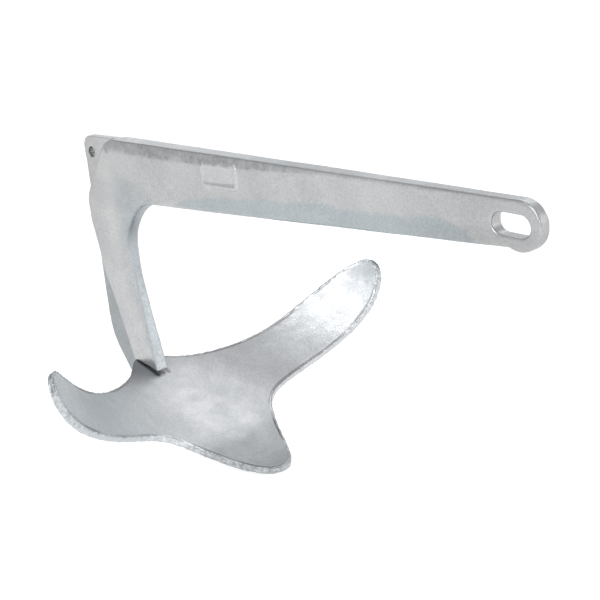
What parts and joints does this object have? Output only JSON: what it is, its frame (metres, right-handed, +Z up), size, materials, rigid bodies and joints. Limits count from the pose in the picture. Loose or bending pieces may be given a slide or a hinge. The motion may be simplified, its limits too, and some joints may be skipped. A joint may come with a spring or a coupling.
{
  "type": "claw anchor",
  "caption": "One-piece claw anchor: flat tapering shank with a slotted eye and a dished three-lobed claw welded to its foot, hot-dip galvanised.",
  "frame": {"origin": "centre of the forward end of the shackle slot, on the anchor's middle plane, where the shackle pin bears", "axes": "+X forward along the shank, away from the claw; +Y to port, along the shackle pin; +Z up, away from the flukes' bed"},
  "size_m": [0.447, 0.3218, 0.2415],
  "materials": {
    "zinc_shank": "hot-dip galvanised, satin",
    "zinc_claw": "hot-dip galvanised, satin",
    "zinc_weld": "hot-dip galvanised, rough"
  },
  "bodies": {
    "root": {"shank": "zinc_shank", "claw": "zinc_claw", "weld_port": "zinc_weld", "weld_starboard": "zinc_weld"}
  },
  "joints": []
}
